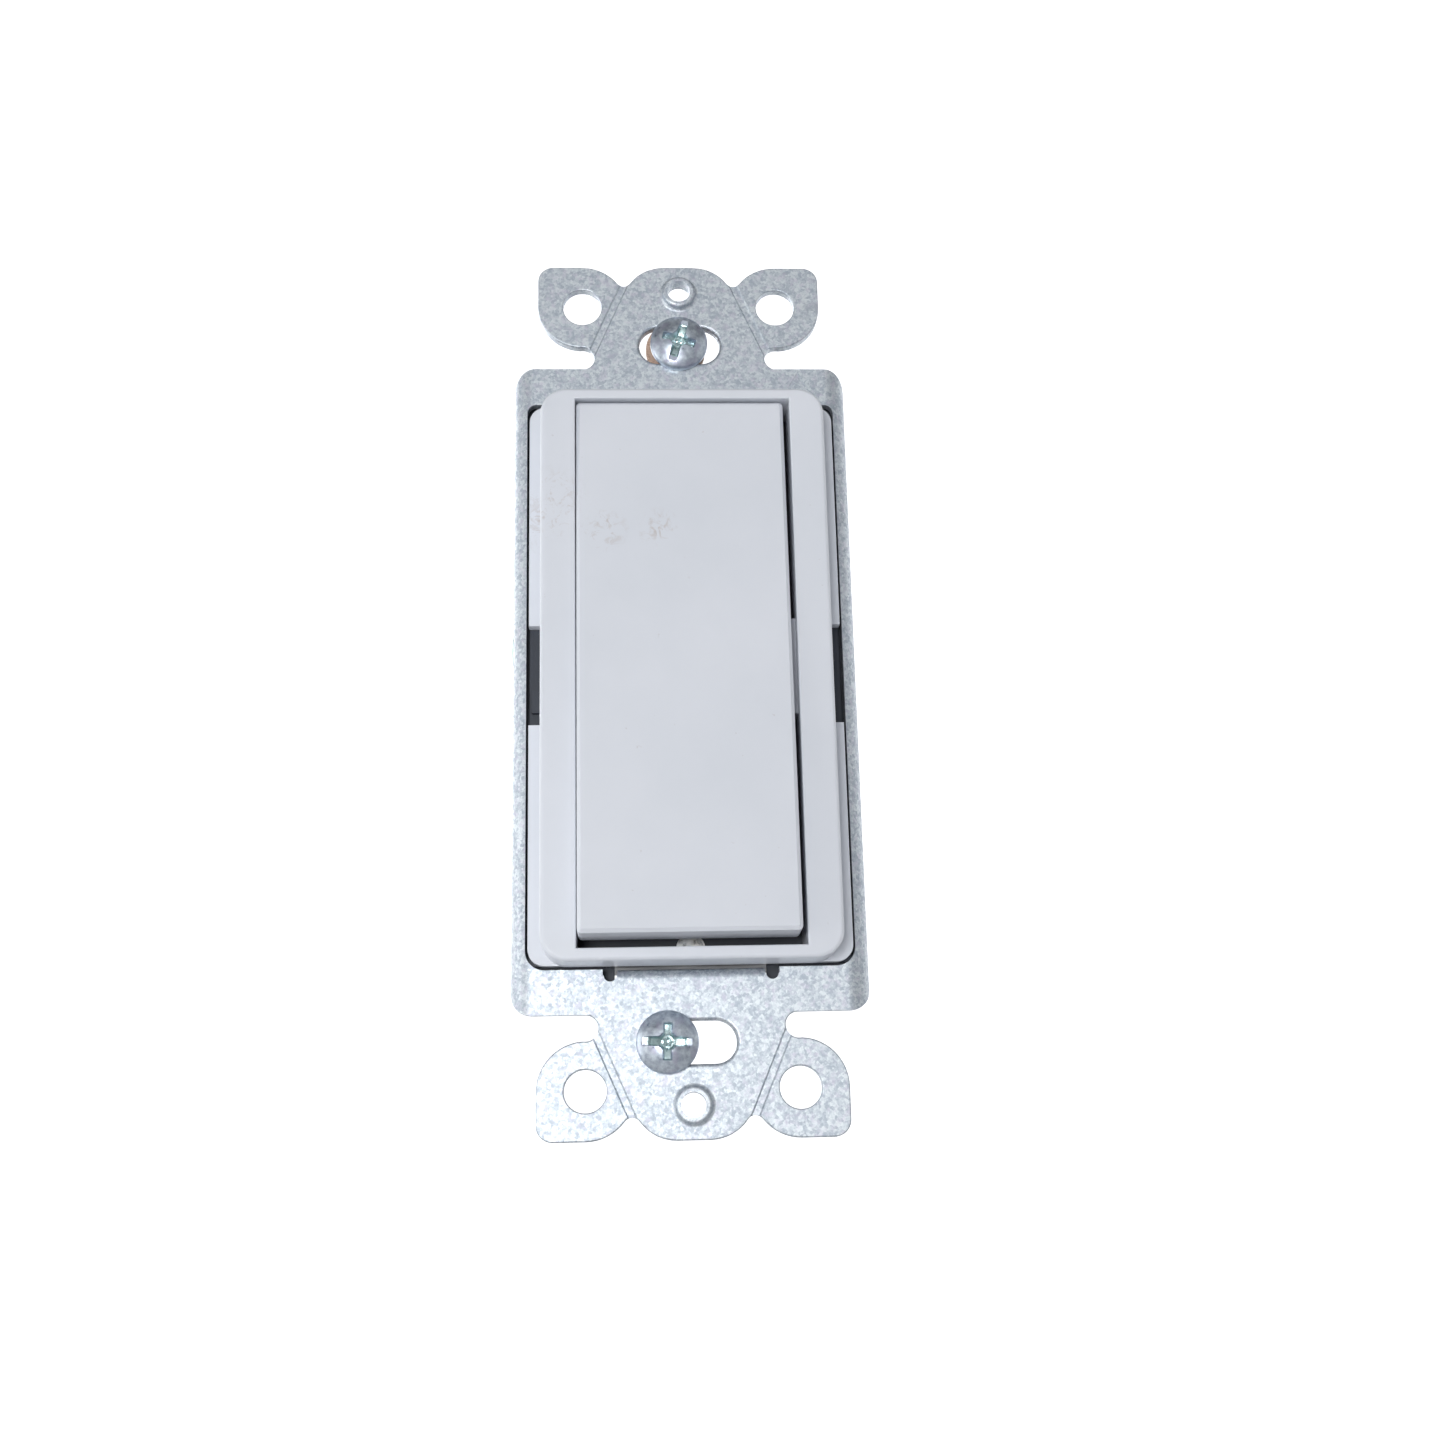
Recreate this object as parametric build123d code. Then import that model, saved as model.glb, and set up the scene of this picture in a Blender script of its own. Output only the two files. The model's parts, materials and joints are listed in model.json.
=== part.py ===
from build123d import *
import os

# Single-pole paddle (rocker) wall switch on a steel mounting strap. Millimetres.
# X to the right, Y to the back (the face looks along -Y), Z up.
# The origin is the centre of the strap, on the rear plane that lands on the wall or box.

# --- mounting strap ---------------------------------------------------------------------------
SHEET = 1.1                      # strap sheet thickness
STRAP_FRONT = -SHEET
FRAME_HALF_W = 19.93             # outer faces of the bent side flanges
FRAME_HALF_H = 38.5
FRAME_CORNER_R = 2.5
BEND_R = 2.65                    # outer radius of the flange bends
FLANGE_BACK = 6.3                # rear edge of the side flanges
FLANGE_TAPER = 4.45              # half the side of the square that bevels the flange ends
OPENING_HALF_W = 18.3
OPENING_TOP = 33.8
OPENING_BOTTOM = -33.6
OPENING_CORNER_R = (1.0, 2.2)    # top and bottom corners
LIP_HALF_W = 8.15                # stiffening lips bent back from the opening's ends
LIP_NOTCH_W = 1.6                # relief notch beside each lip
LIP_NOTCH_DEEP = 1.35
LIP_BACK = 3.4

EAR_X = 11.71                    # ear screw holes and the lobes round them
EAR_Z = 46.71
EAR_R = 5.35
EAR_CORNER_R = 1.85
EAR_HOLE_R = 2.325
TONGUE_X = 1.8                   # rounded shoulders of the centre tongue
TONGUE_Z = 47.1
TONGUE_R = 5.0
VALLEY_R = 1.0
NOTCH_R = 1.45                   # half-round notch between ear and frame
BREAK_LINE = ((6.35, 50.37), (10.85, 39.96))
BREAK_W = 1.05                   # break-off groove, pressed into the front and the rear
BREAK_DEEP = 0.2
EDGE_R = 0.16                    # rolled edge of the stamped ends
SLOT_EDGE_R = 0.42               # broader rolled edge round the box screw slots
MARK_AT = (14.2, 35.75)          # engraved triangle that points to the upper end

PLATE_HOLE_Z = 48.42             # tapped 6-32 holes for the wallplate screws
PLATE_HOLE_R = 1.38
PLATE_BOSS_R = 1.98              # boss drawn forwards round each tapped hole
PLATE_BOSS_FRONT = -2.0
SLOT_Z = 41.67                   # slots for the box screws
SLOT_HALF_L = 4.87
SLOT_R = 2.35

# --- white trim -------------------------------------------------------------------------------
BEZEL_HALF_W = 16.47
BEZEL_HALF_H = 33.34
BEZEL_CORNER_R = 3.0
BEZEL_FRONT = -6.76
LEDGE_HALF_W = 17.97
LEDGE_HALF_H = 33.2
LEDGE_CORNER_R = 1.9
LEDGE_FRONT = -1.67
WELL_HALF_W = 12.48              # opening that the paddle moves in
WELL_TOP = 32.05
WELL_BOTTOM = -31.95
SIDE_WINDOW_HALF = 5.9
PAD_X = 11.85                    # guide pads beside the pivot
PAD_FRONT = -4.7
PAD_HALF = 5.6
CLIP_Z = 24.0
CLIP_HALF = 1.5

PADDLE_LEFT = -12.35
PADDLE_RIGHT = 11.75
PADDLE_MID = (PADDLE_LEFT + PADDLE_RIGHT) / 2
PADDLE_HALF_H = 31.3
PADDLE_FRONT = -8.0
PADDLE_SKIN = 1.8
PADDLE_WALL = 1.2
PADDLE_BACK = -3.6
PADDLE_EDGE = 0.4
EAR_OUT = 11.3                   # pivot ears, measured from the paddle's own middle
EAR_IN = 9.9

# --- paddle pivot -----------------------------------------------------------------------------
PIVOT_Y = 2.5
REST_TILT = -2.95                # top pressed in: the "on" state
PIN_R = 1.5
PIN_END = 13.2
RUNNING_FIT = 0.05

# --- black case -------------------------------------------------------------------------------
DECK_FRONT = -0.3
DECK_BACK = 1.6
DECK_HALF_W = 17.9
DECK_HALF_H = 33.1
DECK_RIM_HALF_W = 18.5           # rim behind the strap that closes the gap around the trim
DECK_RIM_FRONT = 0.9
DECK_RIM_PAST = 1.95             # past the opening's ends, beside the lips
CASE_HALF_W = 16.6
CASE_END_HALF_H = 33.0
CASE_END_BACK = 9.6
CASE_HALF_H = 29.5
CASE_BACK = 25.0
CAVITY_HALF_W = 14.6
CAVITY_HALF_H = 27.5
CAVITY_BACK = 22.8
SNAP_Z = 22.0
SNAP_Y = (2.9, 4.9)
SNAP_X = 19.4
RIVET_Z = 31.3
RIVET_R = 1.2
RIVET_HEAD_R = 1.6

# --- contact arm ------------------------------------------------------------------------------
ARM_PIVOT_Y = 18.0
ARM_TILT = 5.9                   # the arm swings twice as far as the paddle, the other way
ARM_FRONT = 15.3
ARM_BACK = 16.4
ARM_HALF_W = 3.2
ARM_HALF_H = 10.0
ARM_PIN_R = 0.8
CRADLE_EARS = (3.5, 4.6)
CONTACT_Z = -8.2
CONTACT_R = 1.8
PLUNGER_R = 1.5
PLUNGER_TIP_R = 1.2
PLUNGER_TIP_Y = 14.0

# --- side terminals ---------------------------------------------------------------------------
TERMINAL_Z = 15.0
TERMINAL_Y = 13.5
TERMINAL_X = (12.0, 13.1)
TERMINAL_HALF = 5.4
TERMINAL_FEED_Y = (17.4, 19.0)   # strip that leads inwards from each terminal plate
POCKET_HALF = 5.9
POCKET_WALL = 1.5
CLAMP_X = (13.3, 14.5)
CLAMP_HALF = 3.7
CLAMP_HOLE_R = 2.3
SCREW_R = 2.0
SCREW_TIP_X = 6.1
SCREW_HEAD_X = (14.55, 16.6)
SCREW_HEAD_R = 3.7
WIRE_HOLE_X = 14.3
WIRE_HOLE_R = 1.25
WIRE_HOLE_STEP = 3.2             # either side of the terminal screw

# --- ground screw -----------------------------------------------------------------------------
GROUND_Y = 9.3
GROUND_Z = 6.0
GROUND_TAB_X = (-18.0, -16.9)
GROUND_TAB_HALF = 4.8
GROUND_TAB_BACK = 13.6
GROUND_TAB_JOG = (2.3, 3.9)
GROUND_RELIEF = 0.8
GROUND_SHANK_R = 1.95
GROUND_TIP_X = -11.9
GROUND_FLANGE_R = 3.6
GROUND_HEX = 6.35
GROUND_HEAD_X = -20.15
GROUND_DOME_X = -20.55

# --- box screws -------------------------------------------------------------------------------
BOX_SCREW_R = 1.75               # 6-32 thread, drawn at its outer diameter
BOX_NECK_R = 1.45                # plain neck where the screw passes the strap and the washer
BOX_NECK_BACK = 1.5
BOX_SCREW_TIP = 24.2
BOX_HEAD_R = 3.43
BOX_HEAD_RIM = 0.7
BOX_HEAD_DOME = 1.2
TOP_SCREW_X = -0.1
BOTTOM_SCREW_X = -2.75
FACE_GAP = 0.1                   # between the strap and the pieces that slide on it
WASHER_R = 3.6
WASHER_HOLE_R = 1.9
WASHER_SHIFT = -0.35             # the loose washer hangs off to the left of its screw
WASHER_THICK = 0.8


# --- helpers ----------------------------------------------------------------------------------
def slab(outline, y_front, y_back):
    """An X-Z outline made solid from y_front back to y_back."""
    return extrude(Plane.XZ.offset(-y_back) * outline, amount=y_back - y_front)


def block(x, y, z):
    """A box between the low and high value of each axis."""
    centre = [(low + high) / 2 for low, high in (x, y, z)]
    size = [high - low for low, high in (x, y, z)]
    return Pos(*centre) * Box(*size)


def rod_x(radius, x, at_y, at_z):
    """A round bar along X."""
    return Pos((x[0] + x[1]) / 2, at_y, at_z) * Rot(0, 90, 0) * Cylinder(radius, x[1] - x[0])


def rod_y(radius, y, at_x, at_z):
    """A round bar along Y."""
    return Pos(at_x, (y[0] + y[1]) / 2, at_z) * Rot(90, 0, 0) * Cylinder(radius, y[1] - y[0])


def both(low, high):
    """The range and its mirror image, for features on the left and on the right."""
    return ((low, high), (-high, -low))


def tilt(shape, pivot_y, degrees):
    """Turn a shape about the hinge line through (pivot_y, z = 0), parallel to X."""
    return Pos(0, pivot_y, 0) * Rot(degrees, 0, 0) * Pos(0, -pivot_y, 0) * shape


def upside_down(shape):
    return mirror(shape, Plane.XY)


# --- mounting strap ---------------------------------------------------------------------------
def ear_outline():
    """Round lobe with its outer upper corner squared off and rounded."""
    corner = Pos(EAR_R / 2, EAR_R / 2) * Rectangle(EAR_R, EAR_R)
    tip = corner.vertices().sort_by(lambda v: v.X + v.Y)[-1]
    return Circle(EAR_R) + fillet(tip, EAR_CORNER_R)


def end_outline():
    """Centre tongue with an ear on each side, above the top edge of the frame."""
    root = FRAME_HALF_H - 2 * NOTCH_R
    outline = Pos(0, (root + TONGUE_Z) / 2) * Rectangle(2 * EAR_X, TONGUE_Z - root)
    outline += Pos(0, TONGUE_Z) * Rectangle(2 * TONGUE_X, 2 * TONGUE_R)
    right_ear = Pos(EAR_X, EAR_Z) * ear_outline()
    for side in (1, -1):
        outline += Pos(side * TONGUE_X, TONGUE_Z) * Circle(TONGUE_R)
        outline += right_ear if side > 0 else mirror(right_ear, Plane.YZ)
        outline -= Pos(side * EAR_X, FRAME_HALF_H + NOTCH_R) * Circle(NOTCH_R)
    valleys = outline.vertices().filter_by_position(Axis.Y, 47.8, 49.2)
    outline = fillet(valleys, VALLEY_R)
    for side in (1, -1):
        outline -= Pos(side * EAR_X, EAR_Z) * Circle(EAR_HOLE_R)
    return outline


def strap_end():
    """Flat end of the strap with its holes, tapped collar and break-off grooves."""
    plate = slab(end_outline(), STRAP_FRONT, 0)
    rims = plate.faces().sort_by(Axis.Y)[0].edges()
    rims = rims.filter_by(lambda e: e.center().Z > FRAME_HALF_H + 0.05)
    plate = fillet(rims, EDGE_R)
    slot = Pos(0, SLOT_Z) * SlotOverall(2 * SLOT_HALF_L, 2 * SLOT_R)
    plate -= slab(slot, 2 * STRAP_FRONT, 1)
    slot_rim = plate.faces().filter_by(Plane.XZ).sort_by(Axis.Y)[0].edges()
    slot_rim = slot_rim.filter_by(lambda e: abs(e.center().X) < 5 and e.center().Z < 44.5)
    plate = fillet(slot_rim, SLOT_EDGE_R)
    plate = plate_boss(plate)
    for groove in break_grooves():
        plate -= groove
        plate -= mirror(groove, Plane.YZ)
    return plate


def plate_boss(plate):
    """Tapped boss for a wallplate screw, with a rounded rim and a rounded foot."""
    plate += rod_y(PLATE_BOSS_R, (PLATE_BOSS_FRONT, STRAP_FRONT / 2), 0, PLATE_HOLE_Z)
    circles = plate.edges().filter_by(GeomType.CIRCLE)
    circles = circles.filter_by(lambda e: abs(e.radius - PLATE_BOSS_R) < 0.01)
    plate = fillet(circles.sort_by(Axis.Y)[-1], 0.42)
    rim = plate.edges().filter_by(GeomType.CIRCLE).sort_by(Axis.Y)[0]
    plate = fillet(rim, 0.3)
    return plate - rod_y(PLATE_HOLE_R, (-3, 3), 0, PLATE_HOLE_Z)


def break_grooves():
    """Front and rear grooves along which the right-hand ear snaps off."""
    (x0, z0), (x1, z1) = BREAK_LINE
    line = Vector(x0 - x1, 0, z0 - z1)
    lean = line.get_signed_angle(Vector(0, 0, 1), Vector(0, -1, 0))
    floor_half = BREAK_W / 2 - BREAK_DEEP
    section = Polyline((-BREAK_W / 2 - 0.1, -0.1), (BREAK_W / 2 + 0.1, -0.1),
                       (floor_half, BREAK_DEEP), (-floor_half, BREAK_DEEP), close=True)
    bar = extrude(make_face(section), amount=line.length / 2, both=True)
    middle = ((x0 + x1) / 2, (z0 + z1) / 2)
    front = Pos(middle[0], STRAP_FRONT, middle[1]) * Rot(0, lean, 0) * bar
    rear = Pos(middle[0], 0, middle[1]) * Rot(0, lean, 0) * mirror(bar, Plane.XZ)
    return front, rear


def channel():
    """Frame of the strap: flat web with a flange bent back along each side."""
    section = Rectangle(2 * FRAME_HALF_W, FLANGE_BACK + SHEET)
    outer = fillet(section.vertices().group_by(Axis.Y)[0], BEND_R)
    hollow = Pos(0, SHEET) * Rectangle(2 * (FRAME_HALF_W - SHEET), FLANGE_BACK + SHEET)
    inner = fillet(hollow.vertices().group_by(Axis.Y)[0], BEND_R - SHEET)
    middle = (FLANGE_BACK + STRAP_FRONT) / 2
    bar = Pos(0, middle, 0) * extrude(outer - inner, amount=FRAME_HALF_H, both=True)
    front = RectangleRounded(2 * FRAME_HALF_W, 2 * FRAME_HALF_H, FRAME_CORNER_R)
    bar &= slab(front, 2 * STRAP_FRONT, FLANGE_BACK)
    for z_end in (FRAME_HALF_H, -FRAME_HALF_H):
        taper = Rot(45, 0, 0) * Box(4 * FRAME_HALF_W, 2 * FLANGE_TAPER, 2 * FLANGE_TAPER)
        bar -= Pos(0, FLANGE_BACK, z_end) * taper
    return bar


def opening_outline():
    """Rounded opening for the trim, with a relief notch on each side of both lips."""
    middle = (OPENING_TOP + OPENING_BOTTOM) / 2
    outline = Pos(0, middle) * Rectangle(2 * OPENING_HALF_W, OPENING_TOP - OPENING_BOTTOM)
    bottom, top = outline.vertices().group_by(Axis.Y)
    outline = fillet(top, OPENING_CORNER_R[0])
    outline = fillet(outline.vertices().group_by(Axis.Y)[0], OPENING_CORNER_R[1])
    notch_r = LIP_NOTCH_W / 2 - 0.1
    for side in (1, -1):
        at_x = side * (LIP_HALF_W + LIP_NOTCH_W / 2)
        for z_edge, outward in ((OPENING_TOP, 1), (OPENING_BOTTOM, -1)):
            reach = LIP_NOTCH_DEEP - notch_r
            outline += Pos(at_x, z_edge) * Rectangle(LIP_NOTCH_W, 2 * reach)
            outline += Pos(at_x, z_edge + outward * reach) * Circle(notch_r)
    return outline


def lip(z_edge, outward):
    """Edge of the opening bent back; outward is +1 at the top and -1 at the bottom."""
    z_range = sorted((z_edge, z_edge + outward * SHEET))
    bar = block((-LIP_HALF_W, LIP_HALF_W), (STRAP_FRONT, LIP_BACK), z_range)
    front = bar.edges().filter_by(Axis.X).group_by(Axis.Y)[0]
    return fillet(front.sort_by(Axis.Z)[0 if outward > 0 else -1], SHEET - 0.02)


def ground_tab():
    """Part of the left flange set inwards, with the tapped hole of the ground screw."""
    x_out, x_in = GROUND_TAB_X
    z_range = (GROUND_Z - GROUND_TAB_HALF, GROUND_Z + GROUND_TAB_HALF)
    flange_out, flange_in = -FRAME_HALF_W, SHEET - FRAME_HALF_W
    jog_start, jog_end = GROUND_TAB_JOG
    jog = Polyline((flange_out, jog_start), (x_out, jog_end), (x_in, jog_end),
                   (flange_in, jog_start), close=True)
    tab = Pos(0, 0, z_range[0]) * extrude(make_face(jog), amount=2 * GROUND_TAB_HALF)
    tab += block(GROUND_TAB_X, (jog_end, GROUND_TAB_BACK), z_range)
    back = tab.edges().filter_by(Axis.X).group_by(Axis.Y)[-1]
    tab = fillet(back, 1.5)
    return tab - rod_x(GROUND_SHANK_R + RUNNING_FIT, (-20, -15), GROUND_Y, GROUND_Z)


def mounting_strap():
    strap = channel() + strap_end() + upside_down(strap_end())
    strap -= slab(opening_outline(), -5, 15)
    for z_edge, outward in ((OPENING_TOP, 1), (OPENING_BOTTOM, -1)):
        z_range = sorted((0, z_edge + outward * SHEET))
        strap -= block((-LIP_HALF_W, LIP_HALF_W), (-5, 15), z_range)
        strap += lip(z_edge, outward)
    for x_range in both(OPENING_HALF_W - 0.5, FRAME_HALF_W + 1):
        for z in (SNAP_Z, -SNAP_Z):
            strap -= block(x_range, (SNAP_Y[0] - 0.4, SNAP_Y[1] + 0.4), (z - 1.8, z + 1.8))
    relief_half = GROUND_TAB_HALF + GROUND_RELIEF
    strap -= block((-FRAME_HALF_W - 1, -OPENING_HALF_W + 0.5), (GROUND_TAB_JOG[0], 15),
                   (GROUND_Z - relief_half, GROUND_Z + relief_half))
    mark = RegularPolygon(2.4, 3, rotation=90) - RegularPolygon(1.75, 3, rotation=90)
    strap -= slab(Pos(*MARK_AT) * mark, 2 * STRAP_FRONT, STRAP_FRONT + 0.12)
    return strap + ground_tab()


# --- white trim -------------------------------------------------------------------------------
def bezel():
    face = RectangleRounded(2 * BEZEL_HALF_W, 2 * BEZEL_HALF_H, BEZEL_CORNER_R)
    ledge = RectangleRounded(2 * LEDGE_HALF_W, 2 * LEDGE_HALF_H, LEDGE_CORNER_R)
    body = slab(face, BEZEL_FRONT, LEDGE_FRONT)
    body = fillet(body.faces().sort_by(Axis.Y)[0].edges(), 0.45)
    body += slab(ledge, LEDGE_FRONT, DECK_FRONT)
    body -= block((-WELL_HALF_W, WELL_HALF_W), (-10, 5), (WELL_BOTTOM, WELL_TOP))
    well_edges = body.faces().sort_by(Axis.Y)[0].inner_wires()[0].edges()
    body = fillet(well_edges, 0.18)
    for x_range in both(BEZEL_HALF_W, LEDGE_HALF_W + 1):
        body -= block(x_range, (LEDGE_FRONT - 1, 1), (-SIDE_WINDOW_HALF, SIDE_WINDOW_HALF))
    for x_range in both(WELL_HALF_W + 1.1, BEZEL_HALF_W - 1.3):
        body -= block(x_range, (BEZEL_FRONT + 1.8, 1), (-30.5, 30.5))
    for x_range in both(PAD_X, WELL_HALF_W + 0.2):
        body += block(x_range, (PAD_FRONT, DECK_FRONT), (-PAD_HALF, PAD_HALF))
    for side in (1, -1):
        for z in (CLIP_Z, -CLIP_Z):
            body += bezel_clip(side, z)
    return body


def bezel_clip(side, z):
    """Snap leg that goes through the deck and hooks under it."""
    z_range = (z - CLIP_HALF, z + CLIP_HALF)
    stem_x = sorted((side * 13.3, side * 14.4))
    hook_x = sorted((side * 12.7, side * 14.4))
    stem = block(stem_x, (BEZEL_FRONT + 1.7, DECK_BACK), z_range)
    hook = block(hook_x, (DECK_BACK, DECK_BACK + 1.0), z_range)
    return stem + hook


def paddle():
    """Flat-faced hollow paddle with two pivot ears, drawn level and then set to its rest tilt."""
    width = PADDLE_RIGHT - PADDLE_LEFT
    shell = Pos(PADDLE_MID, 0, 0) * block((-width / 2, width / 2), (PADDLE_FRONT, PADDLE_BACK),
                                          (-PADDLE_HALF_H, PADDLE_HALF_H))
    shell = fillet(shell.edges().filter_by(Axis.Y), PADDLE_EDGE + 0.1)
    shell = chamfer(shell.faces().sort_by(Axis.Y)[0].edges(), PADDLE_EDGE)
    hollow_x = (PADDLE_LEFT + PADDLE_WALL, PADDLE_RIGHT - PADDLE_WALL)
    hollow_half_h = PADDLE_HALF_H - PADDLE_WALL
    shell -= block(hollow_x, (PADDLE_FRONT + PADDLE_SKIN, 0), (-hollow_half_h, hollow_half_h))
    for z in (-19.0, -9.5, 9.5, 19.0):
        shell += block(hollow_x, (PADDLE_FRONT + 1, PADDLE_BACK - 0.6), (z - 0.5, z + 0.5))
    for x_range in both(EAR_OUT, EAR_OUT + 2):
        shell -= Pos(PADDLE_MID, 0, 0) * block(x_range, (PAD_FRONT - 0.5, 0), (-6.6, 6.6))
    for side, (x_low, x_high) in zip((1, -1), both(EAR_IN, EAR_OUT)):
        ear = block((x_low, x_high), (PADDLE_FRONT + 1, PIVOT_Y), (-5.2, 5.2))
        ear &= rod_x(9.6, (x_low, x_high), PADDLE_FRONT + 1, 0)
        ear += block((x_low, x_high), (PADDLE_FRONT + 1, PIVOT_Y), (-2.4, 2.4))
        ear += rod_x(2.4, (x_low, x_high), PIVOT_Y, 0)
        shell += Pos(PADDLE_MID, 0, 0) * ear
        ear_face = PADDLE_MID + side * EAR_IN
        shell += rod_x(PIN_R, sorted((ear_face, side * PIN_END)), PIVOT_Y, 0)
    return tilt(shell, PIVOT_Y, REST_TILT)


# --- mechanism --------------------------------------------------------------------------------
def actuator():
    """Stem fixed under the paddle, bored from the back for the spring and plunger."""
    top = PADDLE_FRONT + PADDLE_SKIN
    stem = block((-3.2, 3.2), (top, 11.5), (-3.4, 3.4))
    stem = fillet(stem.edges().filter_by(Axis.Y), 0.8)
    stem += block((-4.6, 4.6), (top, top + 1.4), (-6.0, 6.0))
    stem -= rod_y(PLUNGER_R + RUNNING_FIT, (2.0, 12.0), 0, 0)
    return tilt(stem, PIVOT_Y, REST_TILT)


def actuator_spring():
    """Envelope of the coil spring behind the plunger."""
    sleeve = rod_y(1.4, (2.0, 8.0), 0, 0) - rod_y(1.0, (1.0, 9.0), 0, 0)
    return tilt(sleeve, PIVOT_Y, REST_TILT)


def plunger():
    body = rod_y(PLUNGER_R, (8.0, 12.6), 0, 0)
    body += rod_y(PLUNGER_TIP_R, (12.6, PLUNGER_TIP_Y), 0, 0)
    body += Pos(0, PLUNGER_TIP_Y, 0) * Sphere(PLUNGER_TIP_R)
    body -= rod_y(0.8, (7.0, 10.5), 0, 0)
    return tilt(body, PIVOT_Y, REST_TILT)


def contact_arm():
    """See-saw arm with pivot pins, drawn level and then set to its closed tilt."""
    across = (-ARM_HALF_W, ARM_HALF_W)
    arm = block(across, (ARM_FRONT, ARM_BACK), (-ARM_HALF_H, ARM_HALF_H))
    arm = fillet(arm.edges().filter_by(Axis.Y), 1.2)
    arm += block(across, (ARM_BACK, ARM_PIVOT_Y), (-1.2, 1.2))
    arm += rod_x(1.2, across, ARM_PIVOT_Y, 0)
    pin_end = CRADLE_EARS[1] + 0.4
    arm += rod_x(ARM_PIN_R, (-pin_end, pin_end), ARM_PIVOT_Y, 0)
    return tilt(arm, ARM_PIVOT_Y, ARM_TILT)


def moving_contact():
    disc = rod_y(CONTACT_R, (ARM_BACK, ARM_BACK + 0.9), 0, CONTACT_Z)
    return tilt(disc, ARM_PIVOT_Y, ARM_TILT)


def fixed_contact():
    """Domed contact that the moving one closes on."""
    dome_r = 6.0
    dome_front = 18.27
    disc = rod_y(CONTACT_R, (dome_front - 0.1, 19.4), 0, CONTACT_Z)
    return disc & (Pos(0, dome_front + dome_r, CONTACT_Z) * Sphere(dome_r))


# --- terminals --------------------------------------------------------------------------------
def terminal_plate():
    """Upper terminal plate in its pocket, with the tapped hole and the inward feed strip."""
    plate = block(TERMINAL_X, (TERMINAL_Y - TERMINAL_HALF, TERMINAL_Y + TERMINAL_HALF + 0.1),
                  (TERMINAL_Z - TERMINAL_HALF, TERMINAL_Z + TERMINAL_HALF))
    plate += block(TERMINAL_X, TERMINAL_FEED_Y, (5.2, TERMINAL_Z))
    hole_r = SCREW_R + RUNNING_FIT
    return plate - rod_x(hole_r, (10, 15), TERMINAL_Y, TERMINAL_Z)


def line_terminal():
    """Upper terminal, whose strip ends in the cradle that carries the contact arm."""
    x_low, x_high = TERMINAL_X
    strip_y = (20.6, 21.7)
    ear_in, ear_out = CRADLE_EARS
    body = terminal_plate() + block(TERMINAL_X, TERMINAL_FEED_Y, (-1.6, TERMINAL_Z - 5))
    body += block(TERMINAL_X, (TERMINAL_FEED_Y[0], strip_y[1]), (-1.6, 1.6))
    body += block((-ear_out, x_high), strip_y, (-1.6, 1.6))
    for x_range in both(ear_in, ear_out):
        body += block(x_range, (16.6, strip_y[1]), (-1.6, 1.6))
    pin_hole = ARM_PIN_R + RUNNING_FIT
    return body - rod_x(pin_hole, (-ear_out - 1, ear_out + 1), ARM_PIVOT_Y, 0)


def load_terminal():
    """Lower terminal, whose strip ends behind the fixed contact."""
    strip_y = (19.4, 20.5)
    strip_z = (-7.2, -5.2)
    body = upside_down(terminal_plate())
    body += block(TERMINAL_X, (TERMINAL_FEED_Y[0], strip_y[1]), strip_z)
    body += block((-2.4, TERMINAL_X[1]), strip_y, strip_z)
    return body + block((-2.4, 2.4), strip_y, (CONTACT_Z - 2.2, strip_z[1]))


def clamp_plate(z):
    """Square plate that the terminal screw presses on the wires."""
    plate = block(CLAMP_X, (TERMINAL_Y - CLAMP_HALF, TERMINAL_Y + CLAMP_HALF),
                  (z - CLAMP_HALF, z + CLAMP_HALF))
    plate = chamfer(plate.edges().filter_by(Axis.X), 0.7)
    for step in (-WIRE_HOLE_STEP, WIRE_HOLE_STEP):
        plate -= rod_y(0.5, (0, 30), CLAMP_X[0], z + step)
    return plate - rod_x(CLAMP_HOLE_R, (12, 16), TERMINAL_Y, z)


def cross_recess(depth, reach, width, slot_reach):
    """Crossed slots cut into a screw head whose top is at y = 0 and faces -Y."""
    tool = block((-reach, reach), (-1, depth), (-width / 2, width / 2))
    tool += block((-width / 2, width / 2), (-1, depth), (-reach, reach))
    return tool + block((-slot_reach, slot_reach), (-1, depth * 0.55), (-width / 2, width / 2))


def domed_head(radius, rim, dome):
    """Domed screw head: underside at y = 0, top towards -Y."""
    ball_r = (radius ** 2 + dome ** 2) / (2 * dome)
    head = rod_y(radius, (-rim - dome, 0), 0, 0)
    return head & (Pos(0, ball_r - rim - dome, 0) * Sphere(ball_r))


def combination_head(radius, rim, dome, slot_turn):
    """Domed head with a crossed recess and a straight slot."""
    recess = Pos(0, -rim - dome, 0) * cross_recess(1.15, 1.9, 0.8, radius + 1)
    return domed_head(radius, rim, dome) - Rot(0, slot_turn, 0) * recess


def thread(radius, y):
    """Screw thread drawn as a plain bar at its outer diameter, bevelled at the tip."""
    bar = rod_y(radius, y, 0, 0)
    return chamfer(bar.edges().sort_by(Axis.Y)[-1], 0.5)


def terminal_screw(z):
    head_low, head_high = SCREW_HEAD_X
    body = combination_head(SCREW_HEAD_R, 0.9, head_high - head_low - 0.9, 20)
    body += thread(SCREW_R, (-0.2, head_low - SCREW_TIP_X))
    return Pos(head_low, TERMINAL_Y, z) * Rot(0, 0, 90) * body


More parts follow.
